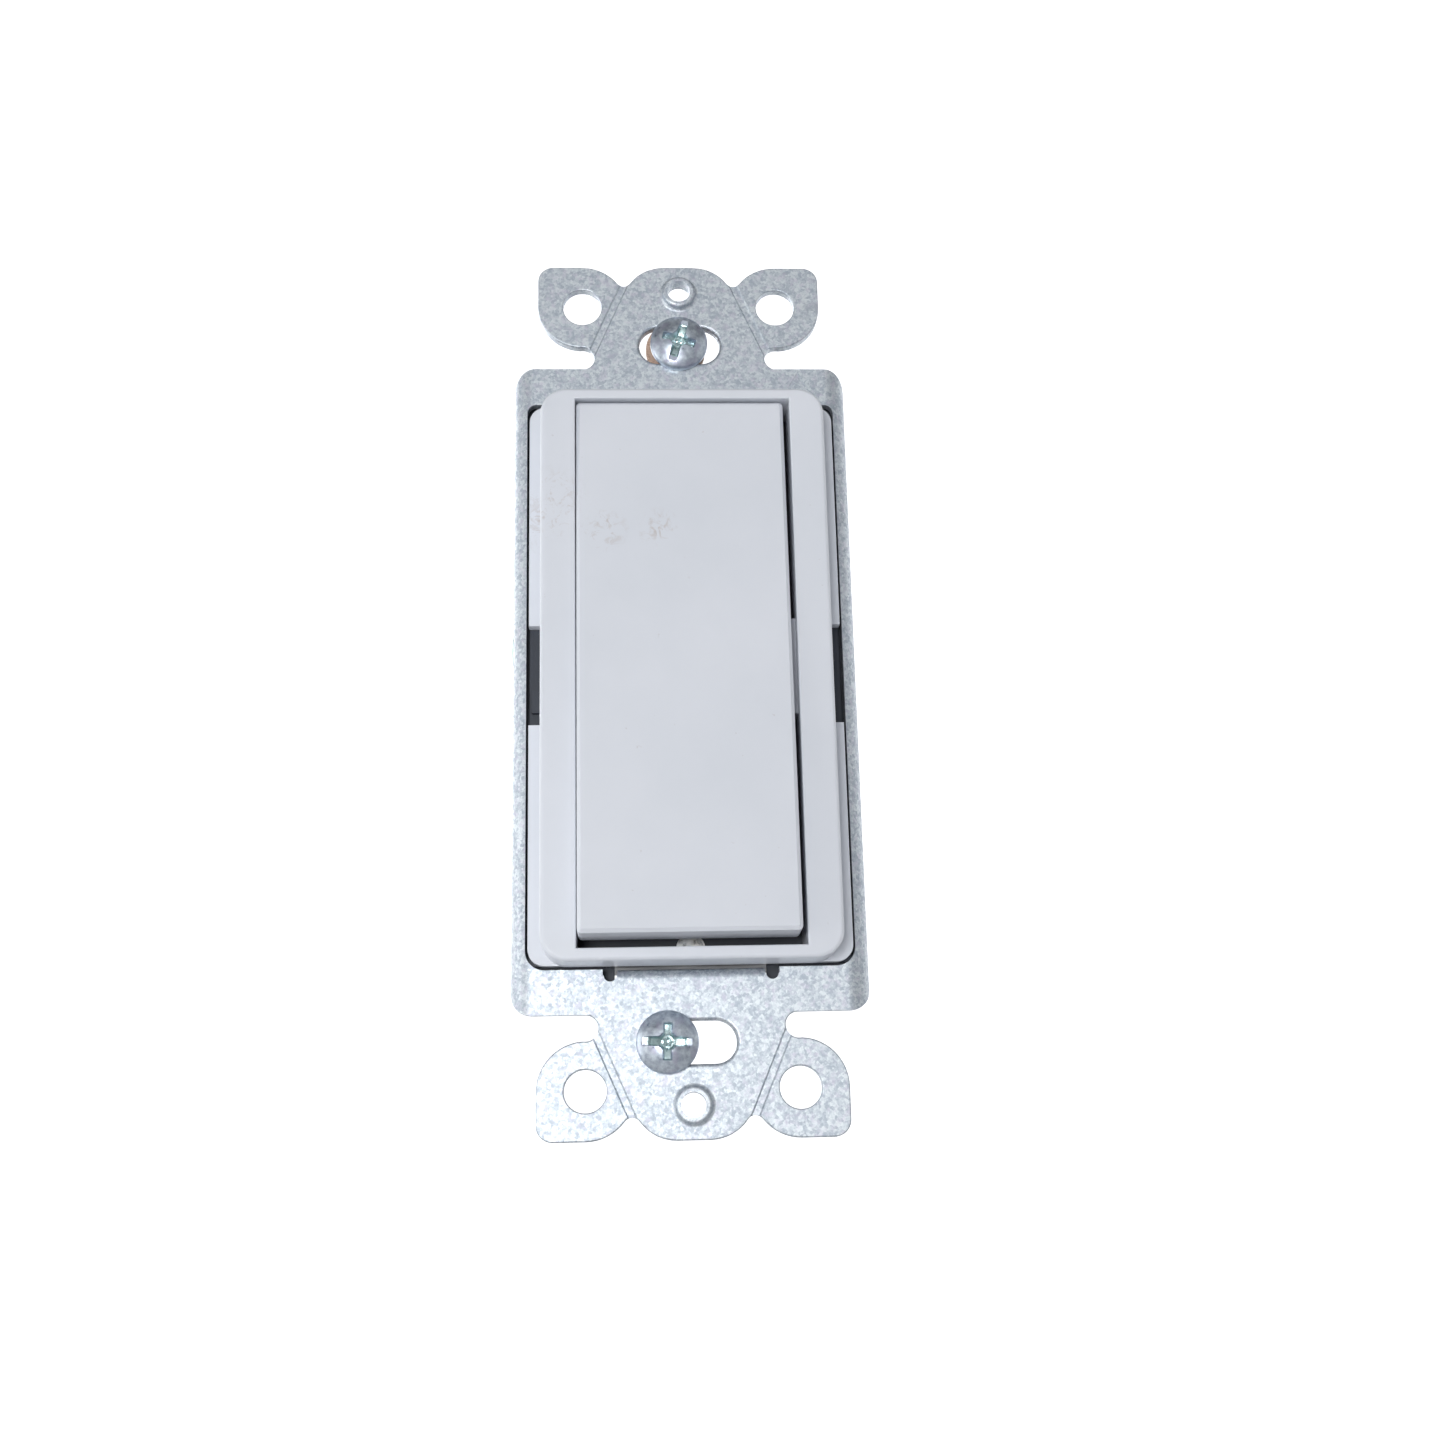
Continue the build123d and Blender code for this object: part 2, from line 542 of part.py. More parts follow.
def ground_screw():
    """Hexagon washer-head screw with a cross slot."""
    under = GROUND_TAB_X[0] - RUNNING_FIT
    washer_top = under - 0.9
    body = rod_x(GROUND_FLANGE_R, (washer_top, under), 0, 0)
    hexagon = RegularPolygon(GROUND_HEX / 2, 6, major_radius=False)
    body += Pos(GROUND_HEAD_X, 0, 0) * extrude(Plane.YZ * hexagon, amount=washer_top - GROUND_HEAD_X)
    dome_r = 12.2
    dome = Pos(GROUND_DOME_X + dome_r, 0, 0) * Sphere(dome_r)
    body += dome & rod_x(2.85, (GROUND_DOME_X, GROUND_HEAD_X + 0.2), 0, 0)
    for turn in (0, 90):
        slot = block((GROUND_DOME_X - 1, GROUND_HEAD_X + 1.0), (-0.45, 0.45), (-2.4, 2.4))
        body -= Rot(turn + 30, 0, 0) * slot
    body += rod_x(GROUND_SHANK_R, (under - 0.2, GROUND_TIP_X), 0, 0)
    return Pos(0, GROUND_Y, GROUND_Z) * body


def box_screw(x, z, slot_turn):
    """6-32 screw that holds the strap to the wall box."""
    under = STRAP_FRONT - FACE_GAP
    body = Pos(0, under, 0) * combination_head(BOX_HEAD_R, BOX_HEAD_RIM, BOX_HEAD_DOME, slot_turn)
    body += rod_y(BOX_NECK_R, (under - 0.2, BOX_NECK_BACK + 0.2), 0, 0)
    body += thread(BOX_SCREW_R, (BOX_NECK_BACK, BOX_SCREW_TIP))
    return Pos(x, 0, z) * body


def screw_washer(x, z):
    """Fibre washer behind the slot that keeps the box screw from falling out."""
    y_range = (FACE_GAP, FACE_GAP + WASHER_THICK)
    body = rod_y(WASHER_R, y_range, x + WASHER_SHIFT, z)
    return body - rod_y(WASHER_HOLE_R, (-1, 3), x + WASHER_SHIFT, z)


# --- case -------------------------------------------------------------------------------------
def front_deck():
    """Plate that closes the case and carries the paddle's pivots."""
    outline = RectangleRounded(2 * DECK_HALF_W, 2 * DECK_HALF_H, 0.8)
    body = slab(outline, DECK_FRONT, DECK_BACK)
    for x_range in both(LIP_HALF_W + 0.3, DECK_RIM_HALF_W):
        body += block(x_range, (DECK_RIM_FRONT, DECK_BACK),
                      (OPENING_BOTTOM - DECK_RIM_PAST, OPENING_TOP + DECK_RIM_PAST))
    body -= block((-5.4, 5.4), (-1, 3), (-6.8, 6.8))
    for x_range in both(9.2, 12.0):
        body -= block(x_range, (-1, 3), (-6.5, 6.5))
    for x_range in both(12.0, 14.4):
        body += block(x_range, (DECK_BACK, 5.4), (-4.0, 4.0))
    for x_range in both(11.9, PIN_END + 0.2):
        body -= rod_x(PIN_R + RUNNING_FIT, x_range, PIVOT_Y, 0)
    for x_range in both(12.7, 14.4):
        for z in (CLIP_Z, -CLIP_Z):
            body -= block(x_range, (-1, 3), (z - CLIP_HALF, z + CLIP_HALF))
    body += block((-17.6, -16.7), (DECK_FRONT - 0.8, DECK_FRONT), (-4.3, -1.7))
    for z in (RIVET_Z, -RIVET_Z):
        body -= rivet_solid(z)
    return body


def rivet_solid(z):
    """Full outline of one flush-headed rivet."""
    body = rod_y(RIVET_R, (DECK_FRONT, CASE_END_BACK + 0.6), 0, z)
    body += rod_y(RIVET_HEAD_R, (DECK_FRONT, DECK_FRONT + 0.8), 0, z)
    return body + rod_y(RIVET_HEAD_R, (CASE_END_BACK, CASE_END_BACK + 0.6), 0, z)


def housing_rivets():
    bores = [rod_y(0.7, (CASE_END_BACK - 2, CASE_END_BACK + 2), 0, z) for z in (RIVET_Z, -RIVET_Z)]
    return Compound([rivet_solid(RIVET_Z) - bores[0], rivet_solid(-RIVET_Z) - bores[1]])


def terminal_pocket_wall(z):
    """Solid inside the case that the terminal pocket is cut into."""
    reach = POCKET_HALF + POCKET_WALL
    return block((TERMINAL_X[0] - POCKET_WALL, CASE_HALF_W),
                 (TERMINAL_Y - reach, CAVITY_BACK), (z - reach, z + reach))


def terminal_pocket(z):
    """Space that is open to the right side, with the screw's and the wires' holes."""
    feed_z = sorted((0, z))
    space = block((TERMINAL_X[0], CASE_HALF_W + 1),
                  (TERMINAL_Y - POCKET_HALF, TERMINAL_Y + POCKET_HALF),
                  (z - POCKET_HALF, z + POCKET_HALF))
    space += block(TERMINAL_X, TERMINAL_FEED_Y, feed_z)
    space += rod_x(SCREW_R + 0.5, (5, 15), TERMINAL_Y, z)
    for step in (-WIRE_HOLE_STEP, WIRE_HOLE_STEP):
        space += rod_y(WIRE_HOLE_R, (TERMINAL_Y, CASE_BACK + 1), WIRE_HOLE_X, z + step)
    return space


def strip_gauge(x):
    """Shallow groove on the back, as long as the bare end of a wire, with length ticks."""
    groove = block((x - 1.1, x + 1.1), (CASE_BACK - 0.6, CASE_BACK + 1), (-6.35, 6.35))
    for step in range(-2, 3):
        groove += block((x - 2.6, x - 1.1), (CASE_BACK - 0.3, CASE_BACK + 1),
                        (step * 3.175 - 0.15, step * 3.175 + 0.15))
    return groove


def snap_wedge(side, z):
    """Sloped tooth on the case's side that locks in the strap's flange."""
    y_front, y_back = SNAP_Y
    tooth = Polyline((side * CASE_HALF_W, y_front), (side * SNAP_X, y_front),
                     (side * CASE_HALF_W, y_back + 2.4), close=True)
    return Pos(0, 0, z - 1.4) * extrude(make_face(tooth), amount=2.8, dir=(0, 0, 1))


def rear_housing():
    end_blocks = RectangleRounded(2 * CASE_HALF_W, 2 * CASE_END_HALF_H, 1.5)
    body_outline = RectangleRounded(2 * CASE_HALF_W, 2 * CASE_HALF_H, 2.0)
    body = slab(body_outline, DECK_BACK, CASE_BACK)
    body = fillet(body.faces().sort_by(Axis.Y)[-1].edges(), 1.0)
    body += slab(end_blocks, DECK_BACK, CASE_END_BACK)
    body -= block((-CAVITY_HALF_W, CAVITY_HALF_W), (0, CAVITY_BACK),
                  (-CAVITY_HALF_H, CAVITY_HALF_H))
    for z in (TERMINAL_Z, -TERMINAL_Z):
        body += terminal_pocket_wall(z)
        body -= terminal_pocket(z)
        body -= rivet_solid(RIVET_Z if z > 0 else -RIVET_Z)
    body += rod_x(GROUND_FLANGE_R, (-CASE_HALF_W, -10.6), GROUND_Y, GROUND_Z)
    body -= rod_x(GROUND_SHANK_R + 0.65, (-20, -11.4), GROUND_Y, GROUND_Z)
    for side in (1, -1):
        for z in (SNAP_Z, -SNAP_Z):
            body += snap_wedge(side, z)
    for x in (-8.0, 8.0):
        body -= strip_gauge(x)
    return body


# --- all sub-parts ----------------------------------------------------------------------------
PARTS = {
    "mounting_strap": mounting_strap(),
    "bezel": bezel(),
    "front_deck": front_deck(),
    "rear_housing": rear_housing(),
    "housing_rivets": housing_rivets(),
    "line_terminal": line_terminal(),
    "load_terminal": load_terminal(),
    "fixed_contact": fixed_contact(),
    "paddle": paddle(),
    "actuator": actuator(),
    "actuator_spring": actuator_spring(),
    "plunger": plunger(),
    "contact_arm": contact_arm(),
    "moving_contact": moving_contact(),
    "line_clamp_plate": clamp_plate(TERMINAL_Z),
    "line_terminal_screw": terminal_screw(TERMINAL_Z),
    "load_clamp_plate": clamp_plate(-TERMINAL_Z),
    "load_terminal_screw": terminal_screw(-TERMINAL_Z),
    "ground_screw": ground_screw(),
    "top_mounting_screw": box_screw(TOP_SCREW_X, SLOT_Z, 72),
    "top_screw_washer": screw_washer(TOP_SCREW_X, SLOT_Z),
    "bottom_mounting_screw": box_screw(BOTTOM_SCREW_X, -SLOT_Z, -2),
    "bottom_screw_washer": screw_washer(BOTTOM_SCREW_X, -SLOT_Z),
}

os.makedirs("parts", exist_ok=True)
for name, shape in PARTS.items():
    export_step(shape, f"parts/{name}.step")
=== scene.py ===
import json
import math

import bmesh
import bpy
from mathutils import Matrix, Vector


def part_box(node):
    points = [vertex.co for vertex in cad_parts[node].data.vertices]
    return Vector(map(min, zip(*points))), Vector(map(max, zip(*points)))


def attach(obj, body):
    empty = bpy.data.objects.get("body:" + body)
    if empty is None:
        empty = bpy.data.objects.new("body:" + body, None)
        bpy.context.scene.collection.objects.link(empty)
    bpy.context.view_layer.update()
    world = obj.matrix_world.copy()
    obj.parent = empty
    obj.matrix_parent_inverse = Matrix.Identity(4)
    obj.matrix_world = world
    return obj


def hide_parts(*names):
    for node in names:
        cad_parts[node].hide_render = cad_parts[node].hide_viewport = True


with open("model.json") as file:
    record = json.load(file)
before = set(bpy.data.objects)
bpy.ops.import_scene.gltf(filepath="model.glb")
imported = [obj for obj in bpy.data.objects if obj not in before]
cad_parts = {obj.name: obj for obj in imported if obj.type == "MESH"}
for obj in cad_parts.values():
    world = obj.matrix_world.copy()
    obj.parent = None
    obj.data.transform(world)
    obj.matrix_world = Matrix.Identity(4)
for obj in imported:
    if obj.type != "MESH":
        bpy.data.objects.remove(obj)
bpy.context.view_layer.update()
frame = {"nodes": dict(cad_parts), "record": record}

MM = 0.001


# --- node materials ---------------------------------------------------------------------------
class Shader:
    """One procedural material, with short calls for the nodes used here."""

    def __init__(self, name):
        self.material = bpy.data.materials.new(name)
        self.material.use_nodes = True
        self.tree = self.material.node_tree
        self.tree.nodes.clear()
        output = self.tree.nodes.new("ShaderNodeOutputMaterial")
        self.principled = self.tree.nodes.new("ShaderNodeBsdfPrincipled")
        self.join(self.principled.outputs["BSDF"], output.inputs["Surface"])
        self.coords = self.tree.nodes.new("ShaderNodeTexCoord").outputs["Object"]

    def join(self, source, target):
        self.tree.links.new(source, target)

    def feed(self, target, value):
        if isinstance(value, bpy.types.NodeSocket):
            self.join(value, target)
        else:
            target.default_value = value

    def set(self, **values):
        """Principled inputs by name, with _ for a space."""
        for key, value in values.items():
            self.feed(self.principled.inputs[key.replace("_", " ")], value)
        return self

    def scaled(self, scale):
        """Object coordinates stretched by a vector."""
        node = self.tree.nodes.new("ShaderNodeVectorMath")
        node.operation = "MULTIPLY"
        self.join(self.coords, node.inputs[0])
        node.inputs[1].default_value = scale
        return node.outputs[0]

    def along(self, axis):
        """Object coordinate along X, Y or Z."""
        node = self.tree.nodes.new("ShaderNodeSeparateXYZ")
        self.join(self.coords, node.inputs[0])
        return node.outputs[axis]

    def near(self, spot, full, gone, counts=(1.0, 0.0, 1.0)):
        """1 within full of a spot and 0 beyond gone, in millimetres; counts weighs each axis."""
        node = self.tree.nodes.new("ShaderNodeVectorMath")
        node.operation = "DISTANCE"
        self.join(self.scaled(counts), node.inputs[0])
        node.inputs[1].default_value = Vector(spot) * MM
        return self.ramp(node.outputs["Value"], gone * MM, full * MM)

    def noise(self, size, detail=3.0, rough=0.55, distortion=0.0, coords=None):
        """Noise whose blobs measure about size metres."""
        node = self.tree.nodes.new("ShaderNodeTexNoise")
        self.join(coords or self.coords, node.inputs["Vector"])
        node.inputs["Scale"].default_value = 1.0 / size
        node.inputs["Detail"].default_value = detail
        node.inputs["Roughness"].default_value = rough
        node.inputs["Distortion"].default_value = distortion
        return node.outputs["Fac"]

    def cells(self, size):
        """A random grey for each crystal of about size metres."""
        node = self.tree.nodes.new("ShaderNodeTexVoronoi")
        self.join(self.coords, node.inputs["Vector"])
        node.inputs["Scale"].default_value = 1.0 / size
        grey = self.tree.nodes.new("ShaderNodeSeparateColor")
        self.join(node.outputs["Color"], grey.inputs[0])
        return grey.outputs[0]

    def math(self, operation, a, b=0.0, c=0.0):
        node = self.tree.nodes.new("ShaderNodeMath")
        node.operation = operation
        for socket, value in zip(node.inputs, (a, b, c)):
            self.feed(socket, value)
        return node.outputs[0]

    def ramp(self, value, low, high, out_low=0.0, out_high=1.0):
        """value mapped from low..high to out_low..out_high, clamped."""
        node = self.tree.nodes.new("ShaderNodeMapRange")
        for key, item in (("Value", value), ("From Min", low), ("From Max", high),
                          ("To Min", out_low), ("To Max", out_high)):
            self.feed(node.inputs[key], item)
        return node.outputs[0]

    def mix(self, factor, a, b):
        """Colour a where factor is 0 and b where it is 1."""
        node = self.tree.nodes.new("ShaderNodeMix")
        node.data_type = "RGBA"
        self.feed(node.inputs[0], factor)
        for socket, value in ((node.inputs[6], a), (node.inputs[7], b)):
            self.feed(socket, value if isinstance(value, bpy.types.NodeSocket) else (*value, 1.0))
        return node.outputs[2]

    def bump(self, height, depth, strength=1.0):
        """Bump of the given depth in metres."""
        node = self.tree.nodes.new("ShaderNodeBump")
        node.inputs["Strength"].default_value = strength
        node.inputs["Distance"].default_value = depth
        self.join(height, node.inputs["Height"])
        self.join(node.outputs[0], self.principled.inputs["Normal"])
        return self


def zinc_sheet():
    """Galvanised sheet: fine mottled spangle, blue and pink tints, and a few darker stains."""
    dark, light = (0.43, 0.485, 0.55), (0.71, 0.76, 0.79)
    pink_tint, stain_tint = (0.63, 0.59, 0.70), (0.40, 0.39, 0.38)
    s = Shader("zinc_sheet")
    fine = s.noise(0.20 * MM, detail=3, rough=0.6)
    coarse = s.noise(0.9 * MM, detail=4, rough=0.6)
    crystal = s.cells(0.34 * MM)
    speckle = s.math("MULTIPLY_ADD", crystal, 0.22, s.math("MULTIPLY", fine, 0.42))
    speckle = s.math("MULTIPLY_ADD", coarse, 0.36, speckle)
    colour = s.mix(s.ramp(speckle, 0.38, 0.62), dark, light)
    pink = s.ramp(s.noise(0.7 * MM, detail=2), 0.5, 0.72)
    colour = s.mix(s.math("MULTIPLY", pink, 0.45), colour, pink_tint)
    stain = s.ramp(s.noise(7 * MM, detail=5, rough=0.65), 0.60, 0.78)
    colour = s.mix(s.math("MULTIPLY", stain, 0.25), colour, stain_tint)
    s.set(Base_Color=colour, Metallic=0.82, Roughness=s.ramp(speckle, 0.3, 0.7, 0.55, 0.45))
    return s.bump(s.math("ADD", fine, coarse), 0.010 * MM, 0.6).material


SMUDGES = (                      # spot, radius where full, radius where gone; mm
    ((-9.2, 0, 15.6), 0.8, 3.0),
    ((-3.0, 0, 15.8), 0.4, 2.8),
    ((-15.4, 0, 19.0), 1.0, 5.0),
)


def white_plastic():
    """Satin moulded plastic with fine scuffs, and brownish smudges on the face's upper left."""
    dull, clean = (0.68, 0.71, 0.765), (0.72, 0.745, 0.80)
    brown, dirt_tint = (0.44, 0.37, 0.33), (0.40, 0.35, 0.34)
    s = Shader("white_plastic")
    haze = s.noise(14 * MM, detail=3)
    colour = s.mix(s.ramp(haze, 0.3, 0.7), dull, clean)
    grime = s.ramp(s.noise(1.3 * MM, detail=6, rough=0.7, distortion=1.2), 0.52, 0.66)
    near = s.near(*SMUDGES[0])
    for place in SMUDGES[1:]:
        near = s.math("MAXIMUM", near, s.near(*place))
    smudge = s.math("MULTIPLY", grime, near)
    colour = s.mix(s.math("MULTIPLY", smudge, 0.55), colour, brown)
    dirt = s.ramp(s.noise(0.9 * MM, detail=2), 0.74, 0.80)
    colour = s.mix(s.math("MULTIPLY", dirt, 0.35), colour, dirt_tint)
    scuff = s.noise(2.4 * MM, detail=4, rough=0.75, coords=s.scaled((5.0, 1.0, 0.5)))
    rough = s.ramp(scuff, 0.55, 0.75, 0.34, 0.50)
    s.set(Base_Color=colour, Roughness=rough)
    s.principled.inputs["Specular IOR Level"].default_value = 0.45
    return s.bump(s.noise(0.30 * MM, detail=2), 0.004 * MM, 0.5).material


def black_case():
    """Matt thermoset with a fine spark-eroded texture."""
    s = Shader("black_case")
    haze = s.noise(5 * MM, detail=4)
    colour = s.mix(haze, (0.016, 0.021, 0.032), (0.040, 0.048, 0.066))
    s.set(Base_Color=colour, Roughness=s.ramp(haze, 0.3, 0.7, 0.42, 0.58))
    return s.bump(s.noise(0.22 * MM, detail=3), 0.02 * MM, 0.7).material


def plated(name, dark, light, tint, rough, size=0.6 * MM, metallic=1.0):
    """Plated or rolled metal with a cloudy tint."""
    s = Shader(name)
    cloud = s.noise(size, detail=4, rough=0.6)
    colour = s.mix(s.ramp(cloud, 0.3, 0.7), dark, light)
    stain = s.ramp(s.noise(size * 2.4, detail=2), 0.5, 0.68)
    colour = s.mix(s.math("MULTIPLY", stain, 0.6), colour, tint)
    s.set(Base_Color=colour, Metallic=metallic,
          Roughness=s.ramp(cloud, 0.3, 0.7, rough, rough + 0.16))
    return s.bump(s.noise(size * 0.4), 0.006 * MM, 0.5).material


def nylon():
    """Milky natural nylon."""
    s = Shader("nylon")
    cloud = s.noise(2 * MM)
    s.set(Base_Color=s.mix(cloud, (0.45, 0.45, 0.44), (0.60, 0.60, 0.58)), Roughness=0.5)
    return s.bump(s.noise(0.3 * MM), 0.006 * MM, 0.5).material


def fibre_board():
    """Pressed fibre with short streaks."""
    s = Shader("fibre_board")
    streaks = s.noise(0.5 * MM, detail=5, rough=0.7, coords=s.scaled((1.0, 1.0, 4.0)))
    colour = s.mix(s.ramp(streaks, 0.3, 0.7), (0.42, 0.27, 0.20), (0.72, 0.54, 0.43))
    s.set(Base_Color=colour, Roughness=0.85)
    return s.bump(streaks, 0.03 * MM, 0.8).material


def slot_materials():
    """Material for each of the record's slots."""
    return {
        "zinc_steel": zinc_sheet(),
        "white_plastic": white_plastic(),
        "black_plastic": black_case(),
        "grey_plastic": nylon(),
        "brass": plated("brass", (0.62, 0.42, 0.14), (0.86, 0.66, 0.30), (0.55, 0.33, 0.14), 0.24),
        "contact_silver": plated("contact_silver", (0.70, 0.69, 0.66), (0.90, 0.89, 0.86),
                                 (0.60, 0.56, 0.50), 0.2),
        "spring_steel": plated("spring_steel", (0.40, 0.41, 0.43), (0.60, 0.61, 0.63),
                               (0.42, 0.40, 0.38), 0.28),
        "bright_steel": plated("bright_steel", (0.55, 0.57, 0.59), (0.76, 0.78, 0.79),
                               (0.60, 0.58, 0.54), 0.24),
        "screw_zinc": plated("screw_zinc", (0.40, 0.46, 0.55), (0.78, 0.85, 0.91),
                             (0.46, 0.44, 0.58), 0.27, metallic=0.95),
        "green_steel": plated("green_steel", (0.006, 0.11, 0.06), (0.02, 0.26, 0.15),
                              (0.03, 0.33, 0.16), 0.28, metallic=0.7),
        "fibre": fibre_board(),
    }


MATERIALS = slot_materials()
RECESS = plated("recess_zinc", (0.30, 0.44, 0.45), (0.58, 0.72, 0.72), (0.62, 0.72, 0.74), 0.24,
                size=0.4 * MM)


def paint_cad():
    """Gives every CAD node the material of its slot."""
    for row in frame["record"]["subparts"]:
        node = frame["nodes"][row["node"]]
        node.data.materials.clear()
        node.data.materials.append(MATERIALS[row["material_slot"]])


# --- screws and spring ------------------------------------------------------------------------
# Lengths here are in millimetres. An edge is (where a recess ends, where it is fully deep).
PITCH = 0.79375                  # 6-32 thread
THREAD_DEPTH = 0.38
THREAD_RUN_IN = 0.5              # from the neck to the full thread
THREAD_REACH = 0.44              # reach of a ridge each way, of a pitch
THREAD_FLANK = 0.36              # sloping part of that reach
TIP_LENGTH = 0.8
TIP_TAPER = 0.2                  # share of the radius lost at the tip
THREAD_SIDES = 36
ROWS_PER_TURN = 8

HEAD_CELLS = 60
RECESS_FROM = 0.25               # faces this deep take the recess material
LIP_START, LIP_WIDTH = 0.93, 0.07    # rounded outer edge, shares of the head's radius
LIP_DROP = 0.12
WELL_EDGE, WELL_DEPTH = (1.05, 0.7), 1.25
WING_SIDE, WING_END = (0.47, 0.35), (2.05, 1.9)
WING_REACH, WING_DEPTH, WING_SLOPE = 2.0, 0.55, 0.9
SLOT_SIDE = (0.50, 0.40)
SLOT_FLOOR = 0.75                # below the top of the dome
SLOT_DEPTH = 0.62                # at most
HEXAGON_SLOT_END, HEXAGON_SLOT_DEPTH = (2.45, 2.3), 1.2


def fade(value, start, end):
    """0 before start, 1 after end, smooth in between; start may be the larger one."""
    t = min(1.0, max(0.0, (value - start) / (end - start)))
    return t * t * (3 - 2 * t)


def dome_height(r, radius, dome):
    """Height of a spherical cap above its edge."""
    ball = (radius ** 2 + dome ** 2) / (2 * dome)
    return dome - ball + math.sqrt(ball ** 2 - min(r, radius) ** 2)


def phillips_depth(u, v):
    """Depth of the cross recess: wings that slope down to the middle."""
    depth = fade(math.hypot(u, v), *WELL_EDGE) * WELL_DEPTH
    for along, across in ((u, v), (v, u)):
        wing = fade(abs(across), *WING_SIDE) * fade(abs(along), *WING_END)
        inwards = max(0.0, 1 - abs(along) / WING_REACH)
        depth = max(depth, wing * (WING_DEPTH + WING_SLOPE * inwards))
    return depth


def combination_relief(radius, rim, dome):
    """Top and recess depth of a domed head with a cross recess and a straight slot."""
    def relief(u, v):
        r = math.hypot(u, v)
        lip = max(0.0, (r / radius - LIP_START) / LIP_WIDTH)
        rounding = LIP_DROP * (1 - math.sqrt(max(0.0, 1 - lip * lip)))
        top = rim + dome_height(r, radius, dome) - rounding
        slot = fade(abs(v), *SLOT_SIDE) * max(0.0, top - rim - dome + SLOT_FLOOR)
        return top, max(phillips_depth(u, v), min(slot, SLOT_DEPTH))
    return relief


def hexagon_relief(radius, rim, dome):
    """Top and recess depth of a hexagon head's low dome with crossed slots."""
    def relief(u, v):
        top = rim + dome_height(math.hypot(u, v), radius, dome)
        depth = 0.0
        for along, across in ((u, v), (v, u)):
            slot = fade(abs(across), *SLOT_SIDE) * fade(abs(along), *HEXAGON_SLOT_END)
            depth = max(depth, slot * HEXAGON_SLOT_DEPTH)
        return top, depth
    return relief


def add_cap(form, radius, relief, turn):
    """Top of a head as a height field on a disc; gives back the vertices around its edge."""
    cosine, sine = math.cos(math.radians(turn)), math.sin(math.radians(turn))
    rows = []
    for i in range(HEAD_CELLS + 1):
        row = []
        for j in range(HEAD_CELLS + 1):
            a, b = 2 * i / HEAD_CELLS - 1, 2 * j / HEAD_CELLS - 1
            u = radius * a * math.sqrt(1 - b * b / 2)
            v = radius * b * math.sqrt(1 - a * a / 2)
            top, depth = relief(u, v)
            spot = (u * cosine - v * sine, u * sine + v * cosine, top - depth)
            row.append((form.verts.new(spot), depth))
        rows.append(row)
    for low, high in zip(rows, rows[1:]):
        for k in range(HEAD_CELLS):
            corners = (low[k], high[k], high[k + 1], low[k + 1])
            face = form.faces.new([vertex for vertex, depth in corners])
            shallowest = min(depth for vertex, depth in corners)
            face.material_index = int(shallowest > RECESS_FROM)
    ring = [row[0] for row in rows] + rows[-1][1:]
    ring += [row[-1] for row in reversed(rows[:-1])] + rows[0][-2:0:-1]
    return [vertex for vertex, depth in ring]


def add_skirt(form, ring, outline):
    """Carries a cap's edge on through (radius for an angle, height) pairs and closes it below."""
    for reach, height in outline:
        lower = []
        for vertex in ring:
            angle = math.atan2(vertex.co.y, vertex.co.x)
            r = reach(angle)
            lower.append(form.verts.new((r * math.cos(angle), r * math.sin(angle), height)))
        for k, vertex in enumerate(ring):
            n = (k + 1) % len(ring)
            form.faces.new((vertex, ring[n], lower[n], lower[k]))
        ring = lower
    form.faces.new(ring)


def join_rings(form, rings):
    """Walls between one ring of vertices and the next."""
    for low, high in zip(rings, rings[1:]):
        for k, vertex in enumerate(low):
            n = (k + 1) % len(low)
            form.faces.new((vertex, high[k], high[n], low[n]))


def circle(radius):
    return lambda angle: radius


def hexagon(across_flats, corner):
    """Radius of a hexagon whose corners are turned down to a circle."""
    def reach(angle):
        off_flat = (angle % math.radians(60)) - math.radians(30)
        return min(across_flats / 2 / math.cos(off_flat), corner)
    return reach


def add_thread(form, radius, length, neck, neck_r):
    """Right-hand thread from z = 0 down to -length, with a plain neck and a tapered tip."""
    root_r = radius - THREAD_DEPTH
    rows = []
    steps = math.ceil(length / PITCH * ROWS_PER_TURN)
    for i in range(steps + 1):
        down = length * i / steps
        start = fade(down, neck, neck + THREAD_RUN_IN)
        tip = fade(down, length - TIP_LENGTH, length)
        row = []
        for k in range(THREAD_SIDES):
            angle = 2 * math.pi * k / THREAD_SIDES
            phase = (down / PITCH + k / THREAD_SIDES) % 1.0
            ridge = min(1.0, max(0.0, (THREAD_REACH - abs(phase - 0.5)) / THREAD_FLANK))
            r = root_r + (radius - root_r) * ridge * (1 - tip)
            r = (neck_r + (r - neck_r) * start) * (1 - TIP_TAPER * tip)
            row.append(form.verts.new((r * math.cos(angle), r * math.sin(angle), -down)))
        rows.append(row)
    join_rings(form, rows)
    form.faces.new(rows[0])
    form.faces.new(list(reversed(rows[-1])))


def stand_in(form, node, body, materials, matrix, sharp=38):
    """Turns a bmesh drawn in millimetres about z into the piece shown for a CAD node.

    Edges that bend by more than sharp degrees stay sharp.
    """
    bmesh.ops.recalc_face_normals(form, faces=form.faces)
    bmesh.ops.transform(form, matrix=matrix @ Matrix.Scale(MM, 4), verts=form.verts)
    for face in form.faces:
        face.smooth = True
    mesh = bpy.data.meshes.new(node + "_look")
    form.to_mesh(mesh)
    form.free()
    mesh.set_sharp_from_angle(angle=math.radians(sharp))
    for material in materials:
        mesh.materials.append(material)
    piece = bpy.data.objects.new(node + "_look", mesh)
    bpy.context.scene.collection.objects.link(piece)
    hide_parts(node)
    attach(piece, body)


